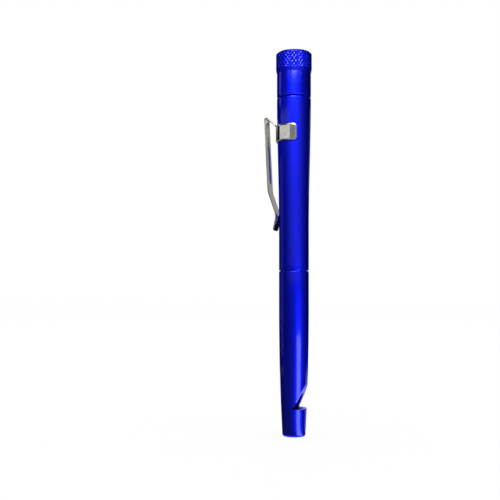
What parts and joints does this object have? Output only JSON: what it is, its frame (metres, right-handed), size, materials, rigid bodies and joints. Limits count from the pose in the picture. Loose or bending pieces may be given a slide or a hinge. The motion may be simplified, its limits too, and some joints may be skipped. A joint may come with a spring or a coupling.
{
  "type": "penlight",
  "caption": "Slim round penlight with a knurled twist head, a folded spring pocket clip and a signal whistle cut into its tapered tail.",
  "frame": {"origin": "centre of the whistle's mouth end, on the end face", "axes": "+Z along the penlight's axis from the mouth to the lamp; the pocket clip is at -Y and the whistle's window near +Y"},
  "size_m": [0.0158, 0.0202, 0.165],
  "materials": {
    "blue_anodised": "turned aluminium, anodised bright blue, half gloss",
    "plated_steel": "stamped spring steel, bright nickel plate",
    "cell_steel": "drawn nickel-plated steel",
    "cell_label": "shrunk plastic sleeve, plain grey",
    "cell_seal": "moulded nylon",
    "tinned_steel": "tinned steel wire",
    "spring_steel": "drawn spring wire, nickel plated",
    "brass": "turned or pressed brass",
    "black_rubber": "moulded nitrile rubber",
    "clear_lens": "polished clear acrylic",
    "mirror_film": "moulded plastic with vapour-coated mirror film",
    "white_plastic": "moulded white plastic",
    "black_plastic": "moulded black plastic",
    "board_laminate": "glass-epoxy laminate, green solder mask",
    "clear_epoxy": "cast clear epoxy"
  },
  "bodies": {
    "barrel": {"barrel": "blue_anodised", "head_o_ring": "black_rubber", "front_cell_can": "cell_steel", "front_cell_label": "cell_label", "front_cell_cap": "cell_steel", "front_cell_seal": "cell_seal", "rear_cell_can": "cell_steel", "rear_cell_label": "cell_label", "rear_cell_cap": "cell_steel", "rear_cell_seal": "cell_seal"},
    "lamp_module": {"lamp_holder": "white_plastic", "circuit_board": "board_laminate", "led": "clear_epoxy", "anode_lead": "tinned_steel", "cathode_lead": "tinned_steel", "resistor": "black_plastic", "contact_stud": "brass", "contact_spring": "spring_steel"},
    "head": {"head_shell": "blue_anodised", "lens": "clear_lens", "lens_gasket": "black_rubber", "reflector": "mirror_film"},
    "spring_stack": {"spring_cup": "brass", "battery_spring": "spring_steel"},
    "tail": {"tail_barrel": "blue_anodised", "whistle_plug": "black_plastic"},
    "clip_band": {"clip_band": "plated_steel"},
    "clip_arm": {"clip_arm": "plated_steel"}
  },
  "joints": [
    {"name": "head_draw", "type": "slide", "parent": "barrel", "child": "lamp_module", "axis": [0, 0, 1], "range_m": [-0.00038, 0.00375]},
    {"name": "head_twist", "type": "hinge", "parent": "lamp_module", "child": "head", "pos_m": [0, 0, 0.15], "axis": [0, 0, 1], "range_deg": [-180, 1800]},
    {"name": "tail_draw", "type": "slide", "parent": "barrel", "child": "spring_stack", "axis": [0, 0, -1], "range_m": [0, 0.006], "deforming": ["battery_spring"]},
    {"name": "tail_unscrew", "type": "hinge", "parent": "spring_stack", "child": "tail", "pos_m": [0, 0, 0.067], "axis": [0, 0, -1], "range_deg": [0, 2880]},
    {"name": "clip_swivel", "type": "hinge", "parent": "barrel", "child": "clip_band", "pos_m": [0, 0, 0.13], "axis": [0, 0, 1], "continuous": true},
    {"name": "clip_flex", "type": "hinge", "parent": "clip_band", "child": "clip_arm", "pos_m": [0, -0.01076, 0.13696], "axis": [-1, 0, 0], "range_deg": [0, 6], "stiffness_Nm_per_rad": 1.5}
  ],
  "couplings": [
    {"joint": "head_twist", "follows": "head_draw", "rad_per_m": 8377.6},
    {"joint": "tail_unscrew", "follows": "tail_draw", "rad_per_m": 8377.6}
  ]
}
